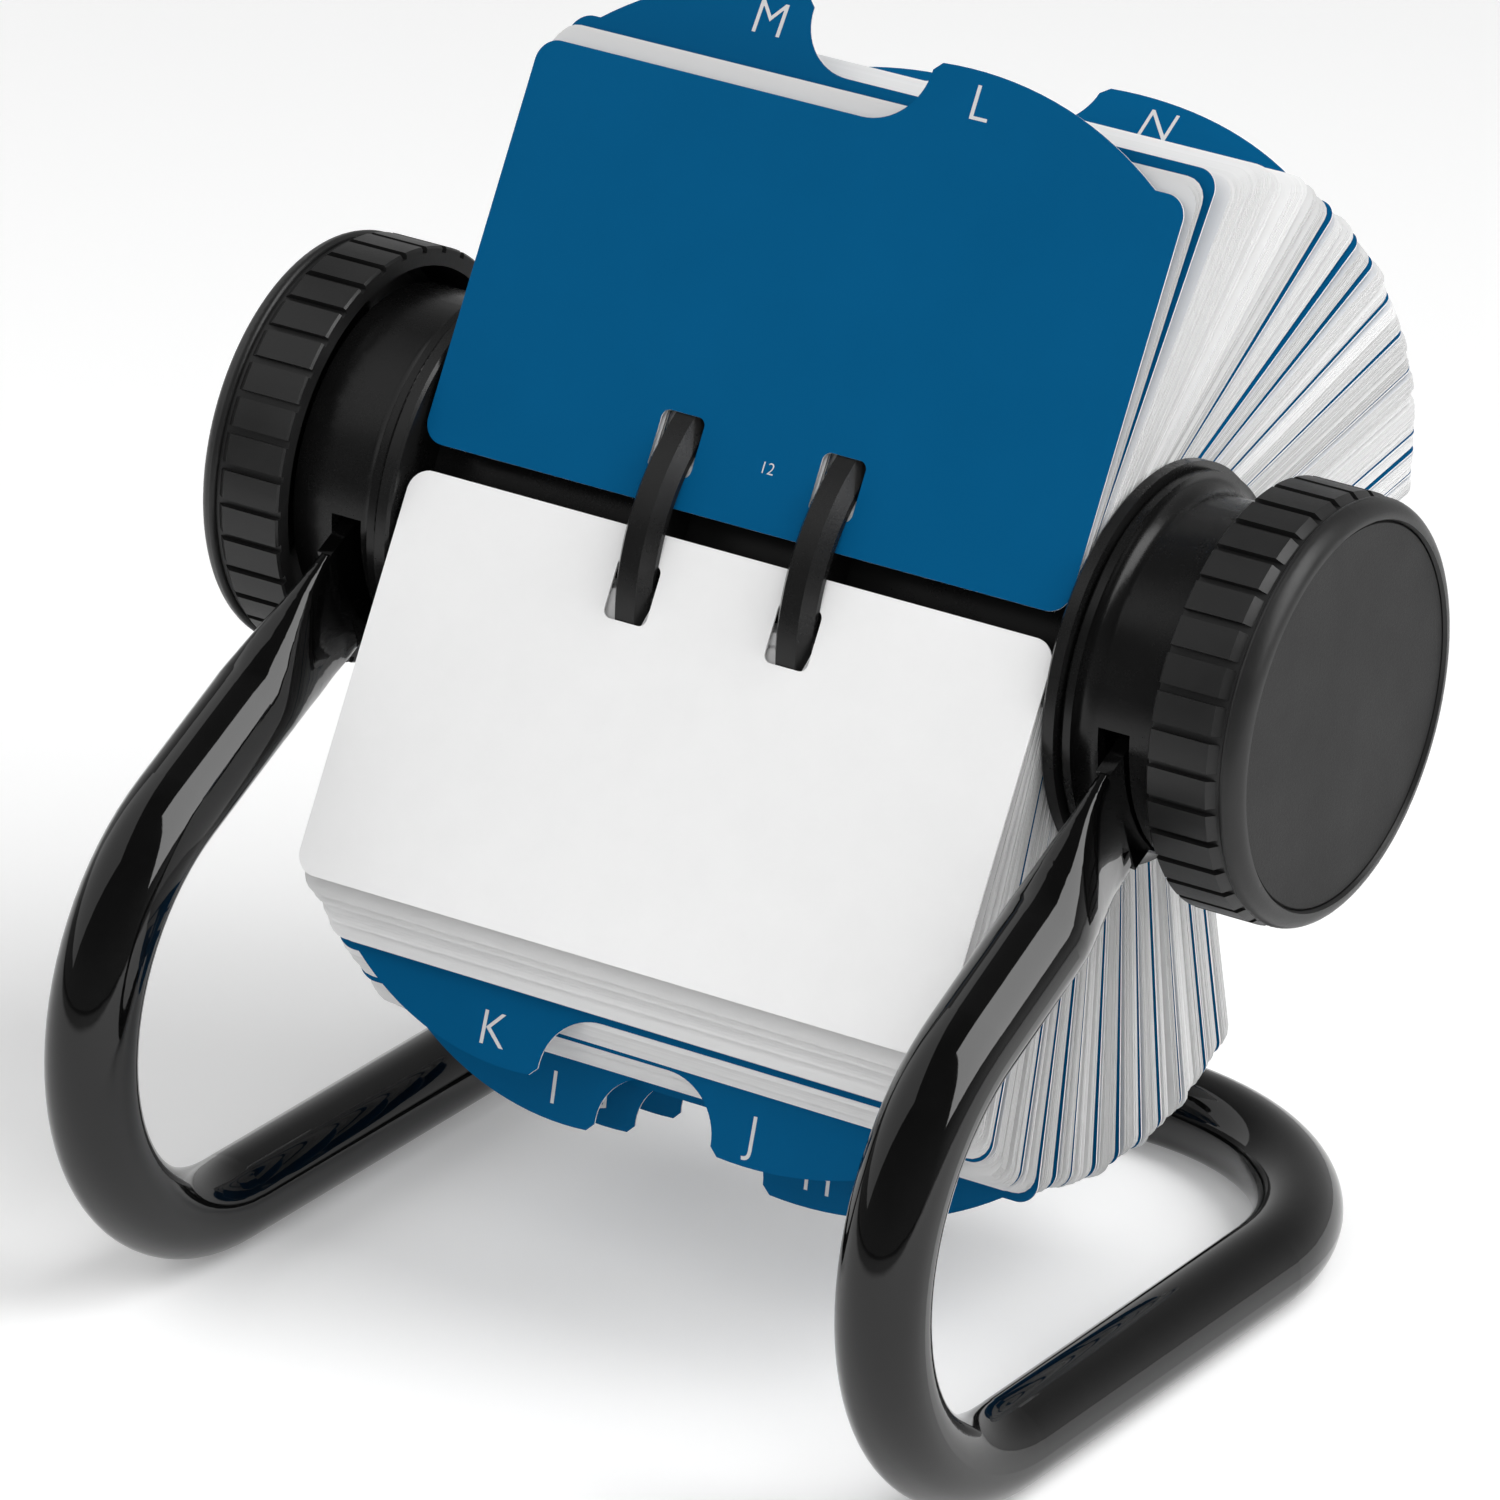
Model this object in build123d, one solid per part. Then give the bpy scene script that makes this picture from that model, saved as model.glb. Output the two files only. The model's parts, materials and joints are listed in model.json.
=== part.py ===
from build123d import *
from math import acos, asin, atan2, ceil, cos, degrees, hypot, pi, radians, sin, sqrt
import os

# Open rotary card file: about 500 index cards of 4 in x 2 1/4 in hook over two
# T-section rings of a plastic wheel, which turns between the ends of one bent tube.
#
# Frame: the origin lies on the desk below the middle of the axle. X runs along the
# axle, -Y is the front where the cards open, Z is up. All lengths are millimetres.

os.makedirs("parts", exist_ok=True)

# ---------------------------------------------------------------- driving dimensions
AXLE_HEIGHT = 101.0

TUBE_OD = 12.7
TUBE_WALL = 1.0
LEG_X = 62.6
BLADE_X = 61.6
TUBE_FRONT_Y = -79.5
TUBE_REAR_Y = 61.8
FRONT_BEND = 33.8
REAR_BEND = 39.0
BLADE_THICK = 2.2
BLADE_WIDTH = 18.4
BLADE_END = 27.0
TUBE_ROUND_FROM = 50.0
BUSH_HOLE_R = 5.0

CARD_W = 101.6
CARD_H = 57.15
CARD_CORNER = 3.2
GUIDE_THICK = 0.25
FRONT_CARD_THICK = 0.3
TAB_RISE = 9.6
LEFT_TAB_END = -15.6
RIGHT_TAB_END = 8.6
TAB_CURVE = 8.4
SLOT_X = 12.7
SLOT_DEPTH = 12.7
NECK_DEPTH = 4.2
NECK_HALF = 2.0
HEAD_HALF = 3.4
HEAD_CORNER = 1.2

RAIL_CREST_R = 28.9
RAIL_BEVEL_R = 26.9
RAIL_UNDER_R = 26.0
RAIL_FLANGE_HALF = 2.8
RAIL_CREST_HALF = 1.5
RAIL_WEB_HALF = 1.7
BARREL_R = 18.5
BARREL_WALL = 2.0
END_DISC_R = 28.0
END_DISC_X = (51.6, 53.6)
WHEEL_BOSS_R = 6.0
SPIGOT_HALF = 3.0

AXLE_R = 3.0
AXLE_THREAD_R = 2.5
AXLE_FLAT = 2.5
AXLE_HALF = 79.0

HOUSING_LIP_R = 27.0
HOUSING_R = 24.4
HOUSING_WALL = 2.0
HOUSING_X = (54.0, 69.4)
SLOT_X_RANGE = (58.3, 63.1)
SLOT_ANGLES = (179.0, 233.5)

KNOB_R = 29.6
KNOB_CORE_R = 28.7
KNOB_INNER_R = 26.9
KNOB_X = (68.6, 82.2)
PAD_COUNT = 36
PAD_GAP = 1.1
CAP_R = 26.5

PIVOT_R = 23.2
SLOT_SLACK = 0.2
SECTION_GAP = 0.25
FLIP_CLEARANCE = 0.25
PACK_STEP = 0.6

# Angle of the pivot point on the wheel against the direction of the card, in degrees
# from +Y towards +Z. The loaded cards part into an upper fan and a hanging bundle.
UPPER_FAN = (
    (138.9, 62.5), (133.5, 60.0), (120.0, 51.0), (104.0, 42.0), (88.0, 33.5),
    (73.0, 25.0), (56.0, 17.5), (40.0, 12.8), (27.0, 10.8), (5.0, 9.0), (-14.0, 8.0),
)
LOWER_BUNDLE = (
    (-44.0, -73.2), (-49.0, -73.6), (-59.4, -74.6), (-71.6, -77.0), (-84.0, -80.5),
    (-96.7, -84.6), (-114.5, -91.8), (-130.0, -98.6), (-150.0, -103.5),
    (-173.0, -107.5), (-184.0, -111.8), (-193.9, -117.5),
)
UPPER_GUIDES = (
    ("l", 138.9), ("m", 129.5), ("n", 85.0), ("o", 73.0), ("p", 64.0), ("q", 52.0),
    ("r", 40.0), ("s", 27.0), ("t", 5.0), ("uv", -1.0), ("w", -8.0),
)
LOWER_GUIDES = (
    ("xy", -51.0), ("z", -59.4), ("a", -71.6), ("b", -80.0), ("c", -88.0),
    ("d", -96.7), ("e", -105.0), ("f", -113.8), ("g", -119.6), ("h", -126.0),
    ("i", -134.0), ("j", -152.5), ("k", -169.0),
)
GUIDE_SLIP = {"m": 1.4, "h": 1.6}
LEFT_TABS = ("a", "c", "e", "g", "i", "k", "m", "o", "q", "s", "uv", "xy")
PACKS = (
    ("l_m", ("l", "m")), ("n_o", ("n", "o")), ("p_q", ("p", "q")), ("r_s", ("r", "s")),
    ("t_uv", ("t", "uv")), ("w", ("w", "w_hanging")), ("xy_z", ("xy", "z")),
    ("a_b", ("a", "b")), ("c_d", ("c", "d")), ("e_f", ("e", "f")), ("g_h", ("g", "h")),
    ("i_j", ("i", "j")), ("k", ("k",)),
)

AXLE = Axis((0, 0, AXLE_HEIGHT), (1, 0, 0))
FLOOR_Z = TUBE_OD / 2


# ---------------------------------------------------------------- shared helpers
def save(shape, name):
    """Write one named piece to its own STEP file."""
    shape.label = name
    export_step(shape, f"parts/{name}.step")


def wheel_point(x, radius, angle):
    """Point at a radius and angle about the axle."""
    turn = radians(angle)
    return Vector(x, radius * cos(turn), AXLE_HEIGHT + radius * sin(turn))


def profile_face(steps):
    """Face in the XZ plane from (x, radius) points; a triple is an arc through its middle."""
    start = steps[0]
    here = start
    edges = []
    for step in list(steps[1:]) + [start]:
        if len(step) == 4:
            target = step[2:]
            arc = [Vector(x, 0, AXLE_HEIGHT + r) for x, r in (here, step[:2], target)]
            edges.append(Edge.make_three_point_arc(*arc))
        else:
            target = step
            ends = [Vector(x, 0, AXLE_HEIGHT + r) for x, r in (here, target)]
            edges.append(Edge.make_line(*ends))
        here = target
    return Face(Wire(edges))


def turned(steps):
    """Solid of revolution about the axle."""
    return revolve(profile_face(steps), AXLE, 360)


def axle_rod(radius, x_low, x_high):
    """Plain cylinder on the axle between two stations."""
    middle = Location(((x_low + x_high) / 2, 0, AXLE_HEIGHT), (0, 90, 0))
    return middle * Cylinder(radius, x_high - x_low)


def ring(inner, outer, x_low, x_high):
    """Plain ring on the axle between two stations."""
    return axle_rod(outer, x_low, x_high) - axle_rod(inner, x_low - 1, x_high + 1)


def both_sides(shape):
    """The piece and its mirror image on the other side."""
    return shape, mirror(shape, about=Plane.YZ)


def save_pair(shape, name):
    """Save a right-hand piece and its left-hand mirror image."""
    right, left = both_sides(shape)
    save(right, f"{name}_right")
    save(left, f"{name}_left")


# ---------------------------------------------------------------- tube frame
def leg_geometry():
    """Leg direction from the axle, tangent length and bend centre, in the YZ plane."""
    centre_y = TUBE_FRONT_Y + FRONT_BEND
    centre_z = FLOOR_Z + FRONT_BEND - AXLE_HEIGHT
    reach = hypot(centre_y, centre_z)
    angle = atan2(centre_z, centre_y) - asin(FRONT_BEND / reach)
    return angle, sqrt(reach**2 - FRONT_BEND**2), Vector(0, centre_y, centre_z + AXLE_HEIGHT)


def leg_point(distance):
    """Point on the leg centre line at a distance from the axle."""
    angle = leg_geometry()[0]
    return Vector(LEG_X, distance * cos(angle), AXLE_HEIGHT + distance * sin(angle))


def mirrored(point):
    """Mirror a point in the YZ plane."""
    return Vector(-point.X, point.Y, point.Z)


def side_path():
    """Edges of the right half of the tube centre line, from the leg to the crossbar."""
    angle, tangent, centre = leg_geometry()
    top = leg_point(TUBE_ROUND_FROM)
    bend_start = leg_point(tangent)
    bend_end = Vector(LEG_X, centre.Y, FLOOR_Z)
    turn_start = angle - pi / 2
    mid_turn = (turn_start % (2 * pi) + 1.5 * pi) / 2
    bend_mid = Vector(LEG_X, centre.Y, centre.Z)
    bend_mid += Vector(0, FRONT_BEND * cos(mid_turn), FRONT_BEND * sin(mid_turn))
    corner_start = Vector(LEG_X, TUBE_REAR_Y - REAR_BEND, FLOOR_Z)
    corner_end = Vector(LEG_X - REAR_BEND, TUBE_REAR_Y, FLOOR_Z)
    diagonal = REAR_BEND * sqrt(0.5)
    corner_mid = Vector(LEG_X - REAR_BEND + diagonal, TUBE_REAR_Y - REAR_BEND + diagonal, FLOOR_Z)
    return (
        ("line", top, bend_start),
        ("arc", bend_start, bend_mid, bend_end),
        ("line", bend_end, corner_start),
        ("arc", corner_start, corner_mid, corner_end),
    )


def path_edge(kind, *points):
    """One straight or curved edge of the centre line."""
    if kind == "line":
        return Edge.make_line(*points)
    return Edge.make_three_point_arc(*points)


def tube_path():
    """Whole centre line of the round part of the tube, from leg to leg."""
    right = side_path()
    edges = [path_edge(kind, *points) for kind, *points in right]
    crossbar_end = right[-1][-1]
    edges.append(Edge.make_line(crossbar_end, mirrored(crossbar_end)))
    for kind, *points in reversed(right):
        edges.append(path_edge(kind, *[mirrored(p) for p in reversed(points)]))
    return Wire(edges)


def flat_section(distance, share):
    """Rounded section square to the leg, from the round tube (0) to the flat end (1)."""
    angle = leg_geometry()[0]
    ease = share * share * (3 - 2 * share)
    half_width = TUBE_OD / 2 + (BLADE_WIDTH / 2 - 0.1 - TUBE_OD / 2) * ease
    half_thick = TUBE_OD / 2 + (BLADE_THICK / 2 - 0.05 - TUBE_OD / 2) * ease
    power = 2 / (2 + 2 * ease)
    across = Vector(0, -sin(angle), cos(angle))
    origin = leg_point(distance) + Vector((BLADE_X - LEG_X) * ease, 0, 0)
    if share == 0:
        plane = Plane(origin=origin, x_dir=across, z_dir=Vector(0, -cos(angle), -sin(angle)))
        return (plane * Circle(TUBE_OD / 2)).faces()[0]
    count = 24
    points = []
    for index in range(count):
        turn = 2 * pi * index / count
        u = half_width * abs(cos(turn)) ** power * (1 if cos(turn) >= 0 else -1)
        v = half_thick * abs(sin(turn)) ** power * (1 if sin(turn) >= 0 else -1)
        points.append(origin + across * u + Vector(v, 0, 0))
    return Face(Wire([Edge.make_spline(points, periodic=True)]))


def flattened_end():
    """Pressed-flat end of the tube with its rounded eye about the axle."""
    steps = 5
    inner_end = BLADE_END - 1.0
    sections = []
    for index in range(steps):
        share = index / (steps - 1)
        distance = TUBE_ROUND_FROM + (inner_end - TUBE_ROUND_FROM) * share
        sections.append(flat_section(distance, share))
    angle = degrees(leg_geometry()[0])
    blade = Location((0, BLADE_END / 2)) * Rectangle(BLADE_WIDTH, BLADE_END)
    outline = blade + Circle(BLADE_WIDTH / 2) - Circle(BUSH_HOLE_R)
    plane = Plane.YZ.rotated((angle - 90, 0, 0)).offset(BLADE_X - BLADE_THICK / 2)
    flat = extrude(plane * outline, BLADE_THICK)
    return loft(sections) + Location((0, 0, AXLE_HEIGHT)) * flat


def tube_frame():
    """One bent steel tube: two legs, two floor runs and the rear crossbar."""
    path = tube_path()
    angle = leg_geometry()[0]
    along = Vector(0, cos(angle), sin(angle))
    start = Plane(origin=leg_point(TUBE_ROUND_FROM), x_dir=(1, 0, 0), z_dir=along)
    outer = sweep(start * Circle(TUBE_OD / 2), path=path)
    bore = sweep(start * Circle(TUBE_OD / 2 - TUBE_WALL), path=path)
    right_end, left_end = both_sides(flattened_end())
    return (outer - bore) + right_end + left_end


# ---------------------------------------------------------------- fixed bearing parts
def blade_slot():
    """Cutter for the slot in the housing through which the tube end enters."""
    x_low, x_high = SLOT_X_RANGE
    start, end = SLOT_ANGLES
    steps = 6
    angles = [start + (end - start) * index / steps for index in range(steps + 1)]
    corners = [wheel_point(0, HOUSING_R + 4, angle) for angle in angles]
    corners += [wheel_point(0, BUSH_HOLE_R * 2, angle) for angle in reversed(angles)]
    face = Face(Wire.make_polygon(corners, close=True))
    cutter = extrude(face, x_high - x_low, dir=(1, 0, 0))
    return Location((x_low, 0, 0)) * cutter


def housing():
    """Spool-shaped bearing housing with a flared lip next to the wheel."""
    x_in, x_out = HOUSING_X
    inner = HOUSING_R - HOUSING_WALL
    boss_x = BLADE_X - BLADE_THICK / 2
    shell = turned((
        (x_in, BUSH_HOLE_R), (x_in, HOUSING_LIP_R - 0.5),
        (x_in + 0.15, HOUSING_LIP_R - 0.15, x_in + 0.5, HOUSING_LIP_R),
        (x_in + 1.6, HOUSING_LIP_R),
        (x_in + 2.2, HOUSING_R + 0.75, x_in + 4.2, HOUSING_R),
        (x_out, HOUSING_R), (x_out, inner), (x_in + 2.0, inner),
        (x_in + 2.0, BUSH_HOLE_R + 3.0), (boss_x, BUSH_HOLE_R + 3.0), (boss_x, BUSH_HOLE_R),
    ))
    return shell - blade_slot()


def bush():
    """Flanged plain bearing that clamps the tube end against the housing boss."""
    flange_x = BLADE_X + BLADE_THICK / 2
    return turned((
        (HOUSING_X[0], AXLE_R + 0.05), (HOUSING_X[0], BUSH_HOLE_R), (flange_x, BUSH_HOLE_R),
        (flange_x, 7.5), (flange_x + 1.2, 7.5), (flange_x + 1.2, AXLE_R + 0.05),
    ))


def wave_washer():
    """Spring washer on the bush flange; its drag keeps the wheel where it is left."""
    x_low = BLADE_X + BLADE_THICK / 2 + 1.2
    return ring(AXLE_R + 0.3, 6.5, x_low, x_low + 1.0)


# ---------------------------------------------------------------- wheel
def rail(centre_x):
    """T-section ring on which the card slots ride."""
    right = (
        (RAIL_WEB_HALF, BARREL_R - 0.5), (RAIL_WEB_HALF, RAIL_UNDER_R),
        (RAIL_FLANGE_HALF, RAIL_UNDER_R), (RAIL_FLANGE_HALF, RAIL_BEVEL_R),
        (RAIL_CREST_HALF, RAIL_CREST_R),
    )
    left = [(-x, r) for x, r in reversed(right)]
    return turned([(centre_x + x, r) for x, r in (*right, *left)])


def keyed_bore(x_low, x_high):
    """D-shaped bore that carries the turning force of the axle."""
    bore = axle_rod(AXLE_R, x_low, x_high)
    return bore - flat_cut(x_low, x_high)


def flat_cut(x_low, x_high):
    """Block above the flat of the D-shaped section."""
    middle = ((x_low + x_high) / 2, 0, AXLE_HEIGHT + AXLE_FLAT + AXLE_R)
    return Location(middle) * Box(x_high - x_low, 4 * AXLE_R, 2 * AXLE_R)


def wheel_right():
    """Right wheel half: barrel, rail, spoke disc and end disc in one moulding."""
    bore_r = BARREL_R - BARREL_WALL
    x_disc, x_end = END_DISC_X
    body = turned((
        (0, bore_r), (0, BARREL_R), (x_disc, BARREL_R), (x_disc, END_DISC_R - 0.4),
        (x_disc + 0.4, END_DISC_R), (x_end, END_DISC_R), (x_end, AXLE_R - 1),
        (x_disc - 8, AXLE_R - 1), (x_disc - 8, WHEEL_BOSS_R), (x_disc, WHEEL_BOSS_R),
        (x_disc, bore_r),
    ))
    spoke_disc = ring(AXLE_R, bore_r + 0.5, SLOT_X - 0.8, SLOT_X + 0.8)
    spigot_seat = ring(bore_r, bore_r + 1.0, -SPIGOT_HALF, SPIGOT_HALF)
    half = body + rail(SLOT_X) + spoke_disc
    return half - keyed_bore(x_disc - 9, x_end + 1) - spigot_seat


def wheel_left():
    """Left wheel half: the same moulding with a locating spigot across the seam."""
    bore_r = BARREL_R - BARREL_WALL
    half = mirror(wheel_right(), about=Plane.YZ)
    spigot = ring(bore_r - 0.6, bore_r + 0.95, -SPIGOT_HALF, SPIGOT_HALF - 0.1)
    return half + spigot


def axle():
    """Steel axle: round in the bearings, flatted for wheel and knobs, threaded ends."""
    shoulder = AXLE_HALF - 5
    rod = axle_rod(AXLE_R, -shoulder, shoulder)
    for x_low, x_high in ((43.5, 53.7), (65.1, shoulder + 1)):
        rod -= flat_cut(x_low, x_high)
        rod -= flat_cut(-x_high, -x_low)
    rod += axle_rod(AXLE_THREAD_R, shoulder, AXLE_HALF)
    rod += axle_rod(AXLE_THREAD_R, -AXLE_HALF, -shoulder)
    return rod


# ---------------------------------------------------------------- knobs
def knob_profile():
    """Cup-shaped knob section: grip zone, rounded rim, recess for the face disc, hub."""
    x_in, x_out = KNOB_X
    face = x_out - 0.5 - 1.2
    return (
        (x_in, KNOB_INNER_R), (x_in, KNOB_R - 0.3), (x_in + 0.3, KNOB_R),
        (x_out - 4.6, KNOB_R), (x_out - 3.5, KNOB_CORE_R), (x_out - 3.0, KNOB_CORE_R),
        (x_out - 2.7, KNOB_R - 0.35, x_out - 2.0, KNOB_R - 0.3),
        (x_out - 0.55, KNOB_R - 1.2, x_out, CAP_R + 0.3),
        (x_out - 0.5, CAP_R + 0.05), (face, CAP_R + 0.05), (face, 6.0), (74.7, 6.0),
        (74.7, AXLE_R - 1), (65.2, AXLE_R - 1), (65.2, 7.5), (x_out - 3.4, 7.5),
        (x_out - 3.4, KNOB_INNER_R - 1.2), (x_out - 4.6, KNOB_INNER_R),
    )


def knob():
    """Ribbed knob with moulded ribs behind the face."""
    x_in, x_out = KNOB_X
    body = turned(knob_profile())
    depth = KNOB_R - KNOB_CORE_R
    length = x_out - 3.0 - x_in + 1
    groove_at = Location(((x_in - 1 + x_out - 3.0) / 2, 0, AXLE_HEIGHT))
    grooves = []
    ribs = []
    for index in range(PAD_COUNT):
        turn = Location((0, 0, 0), (index * 360 / PAD_COUNT, 0, 0))
        cutter = Location((0, 0, KNOB_CORE_R + depth)) * Box(length, PAD_GAP, 2 * depth)
        grooves.append(groove_at * turn * cutter)
    for index in range(6):
        turn = Location((0, 0, 0), (index * 60, 0, 0))
        rib = Location((x_out - 5.4, 0, 17.0)) * Box(4.6, 1.2, 20.4)
        ribs.append(Location((0, 0, AXLE_HEIGHT)) * turn * rib)
    return body - grooves + ribs - keyed_bore(64, 76)


def knob_cap():
    """Face disc that covers the axle nut."""
    x_face = KNOB_X[1] - 0.5
    return turned((
        (x_face, 0), (x_face, CAP_R - 0.3), (x_face - 0.3, CAP_R), (x_face - 1.2, CAP_R),
        (x_face - 1.2, 5.95), (x_face - 2.0, 5.95), (x_face - 2.0, 4.9),
        (x_face - 1.2, 4.9), (x_face - 1.2, 0),
    ))


def axle_nut():
    """Hexagon nut under the face disc."""
    blank = extrude(Plane.YZ * RegularPolygon(4.6, 6), 3.2)
    blank = Location((75.6, 0, AXLE_HEIGHT)) * blank
    return blank - axle_rod(AXLE_THREAD_R, 70, 84)


def axle_washer():
    """Flat washer between nut and knob hub."""
    return ring(AXLE_THREAD_R, 5.6, 74.7, 75.6)


# ---------------------------------------------------------------- cards
def card_direction(table, pivot_angle):
    """Direction of a card whose pivot stands at an angle on the wheel."""
    pairs = sorted(table)
    for (a_low, d_low), (a_high, d_high) in zip(pairs, pairs[1:]):
        if a_low <= pivot_angle <= a_high:
            share = (pivot_angle - a_low) / (a_high - a_low)
            return d_low + (d_high - d_low) * share
    raise ValueError("pivot angle outside the fan")


def pivot_radius(lean):
    """Radius at which the slot end just clears the crest of the rail."""
    offset = abs(sin(radians(lean)))
    radius = PIVOT_R
    reach = SLOT_DEPTH - NECK_DEPTH - SLOT_SLACK
    while True:
        plane = radius * offset
        along = sqrt(max(radius**2 - plane**2, 0))
        if along + reach >= sqrt(max(RAIL_CREST_R**2 - plane**2, 0)):
            return radius
        radius += 0.02


def card_pose(table, pivot_angle):
    """Pivot point and unit direction of a card in the YZ plane, about the axle."""
    direction = card_direction(table, pivot_angle)
    radius = pivot_radius(pivot_angle - direction)
    a, d = radians(pivot_angle), radians(direction)
    return (radius * cos(a), radius * sin(a)), (cos(d), sin(d))


def stack_stations(table):
    """Stations round a bundle: pivot angle against stacked thickness from its first card."""
    low = min(angle for angle, _ in table)
    high = max(angle for angle, _ in table)
    count = 600
    angle_step = (high - low) / count
    stations = [(high, 0.0)]
    depth = 0.0
    for index in range(count):
        angle = high - (index + 0.5) * angle_step
        lean = angle - card_direction(table, angle)
        depth += pivot_radius(lean) * cos(radians(lean)) * radians(angle_step)
        stations.append((high - (index + 1) * angle_step, depth))
    return stations


def depth_at(stations, angle):
    """Stacked thickness at a pivot angle."""
    for (a_high, d_low), (a_low, d_high) in zip(stations, stations[1:]):
        if a_low - 1e-9 <= angle <= a_high + 1e-9:
            return d_low + (d_high - d_low) * (a_high - angle) / (a_high - a_low)
    raise ValueError("angle outside the bundle")


def angle_at(stations, depth):
    """Pivot angle at a stacked thickness."""
    for (a_high, d_low), (a_low, d_high) in zip(stations, stations[1:]):
        if d_low - 1e-9 <= depth <= d_high + 1e-9:
            return a_high - (a_high - a_low) * (depth - d_low) / (d_high - d_low)
    raise ValueError("depth outside the bundle")


def card_plane(table, angle):
    """Plane of a card: local X along the axle, local Y outwards from the pivot."""
    (y, z), (dy, dz) = card_pose(table, angle)
    origin = Vector(0, y, z + AXLE_HEIGHT)
    return Plane(origin=origin, x_dir=(1, 0, 0), z_dir=(0, -dz, dy))


def slot_sketch(centre_x):
    """Keyhole-shaped slot that opens at the inner edge of a card."""
    head_depth = SLOT_DEPTH - NECK_DEPTH
    head = Location((centre_x, head_depth / 2)) * RectangleRounded(
        2 * HEAD_HALF, head_depth, HEAD_CORNER
    )
    neck = Location((centre_x, -NECK_DEPTH / 2)) * Rectangle(2 * NECK_HALF, NECK_DEPTH + 2)
    return head + neck


def plain_card():
    """Card outline about its pivot line, with both slots."""
    middle = CARD_H / 2 - NECK_DEPTH
    sheet = Location((0, middle)) * RectangleRounded(CARD_W, CARD_H, CARD_CORNER)
    return sheet - slot_sketch(SLOT_X) - slot_sketch(-SLOT_X)


def tab_sketch(tab_end):
    """Index tab of a right-hand guide: steep inner end, long falling outer curve."""
    shoulder = CARD_H - NECK_DEPTH
    peak = shoulder + TAB_RISE
    edge = CARD_W / 2
    root = tab_end - TAB_CURVE
    reach = TAB_CURVE * sqrt(0.5)
    mid_x = (tab_end + edge) / 2 + 1.2
    mid_y = (peak + shoulder) / 2 + 2.4
    outline = [
        Edge.make_three_point_arc(
            Vector(root, shoulder),
            Vector(root + reach, shoulder + TAB_CURVE - reach),
            Vector(tab_end, shoulder + TAB_CURVE),
        ),
        Edge.make_line(Vector(tab_end, shoulder + TAB_CURVE), Vector(tab_end + 1.2, peak)),
        Edge.make_three_point_arc(
            Vector(tab_end + 1.2, peak), Vector(mid_x, mid_y), Vector(edge, shoulder - 4)
        ),
        Edge.make_line(Vector(edge, shoulder - 4), Vector(root, shoulder - 4)),
        Edge.make_line(Vector(root, shoulder - 4), Vector(root, shoulder)),
    ]
    return Sketch() + Face(Wire(outline))


def guide_sketch(letter):
    """Guide card with its tab on the left or on the right."""
    if letter in LEFT_TABS:
        tab = mirror(tab_sketch(-LEFT_TAB_END), about=Plane.YZ)
    else:
        tab = tab_sketch(RIGHT_TAB_END)
    return plain_card() + tab


def sheet_solid(sketch, table, angle, thickness, slip=0.0):
    """Give a card outline its thickness and stand it in the fan, slipped outwards."""
    flat = Location((0, slip, 0)) * extrude(sketch, thickness / 2, both=True)
    return card_plane(table, angle).location * flat


def locus(table, angles, reach):
    """Points at one distance from the pivot along every card of a run."""
    points = []
    for angle in angles:
        (y, z), (dy, dz) = card_pose(table, angle)
        points.append(Vector(0, y + reach * dy, AXLE_HEIGHT + z + reach * dz))
    return points


def swept_band(table, angles, inner, outer, half_width):
    """Block between two distances from the pivot, over a run of cards."""
    points = locus(table, angles, inner) + locus(table, angles, outer)[::-1]
    face = Face(Wire.make_polygon(points, close=True))
    block = extrude(face, 2 * half_width, dir=(1, 0, 0))
    return Location((-half_width, 0, 0)) * block


def pack(table, stations, depth_low, depth_high):
    """Wedge of white cards between two guides, with its two keyhole passages."""
    count = max(2, ceil((depth_high - depth_low) / PACK_STEP) + 1)
    angles = []
    for index in range(count):
        depth = depth_low + (depth_high - depth_low) * index / (count - 1)
        angles.append(angle_at(stations, depth))
    body = swept_band(table, angles, -NECK_DEPTH, CARD_H - NECK_DEPTH, CARD_W / 2)
    head = swept_band(table, angles, -0.01, SLOT_DEPTH - NECK_DEPTH, HEAD_HALF)
    neck = swept_band(table, angles, -NECK_DEPTH - 2, 0.01, NECK_HALF)
    for side in (SLOT_X, -SLOT_X):
        body -= Location((side, 0, 0)) * head
        body -= Location((side, 0, 0)) * neck
    return body


def flip_relief():
    """Space that the inner edge of the loose front card sweeps as it turns over."""
    front_angle = min(angle for angle, _ in LOWER_BUNDLE)
    (y, z), _ = card_pose(LOWER_BUNDLE, front_angle)
    place = Location((0, y, z + AXLE_HEIGHT), (0, 90, 0))
    return place * Cylinder(NECK_DEPTH + FLIP_CLEARANCE, 2 * CARD_W)


def bundle_sections(table, guides, leading, closing):
    """Depth ranges of the white cards after every guide of a bundle."""
    stations = stack_stations(table)
    total = stations[-1][1]
    names = [name for name, _ in guides]
    depths = [depth_at(stations, angle) for _, angle in guides]
    ranges = {}
    if leading:
        ranges[leading] = (0.05, depths[0] - SECTION_GAP)
    for index, name in enumerate(names):
        last = index + 1 == len(names)
        end = total - closing if last else depths[index + 1] - SECTION_GAP
        ranges[name] = (depths[index] + SECTION_GAP, end)
    return stations, ranges


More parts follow.
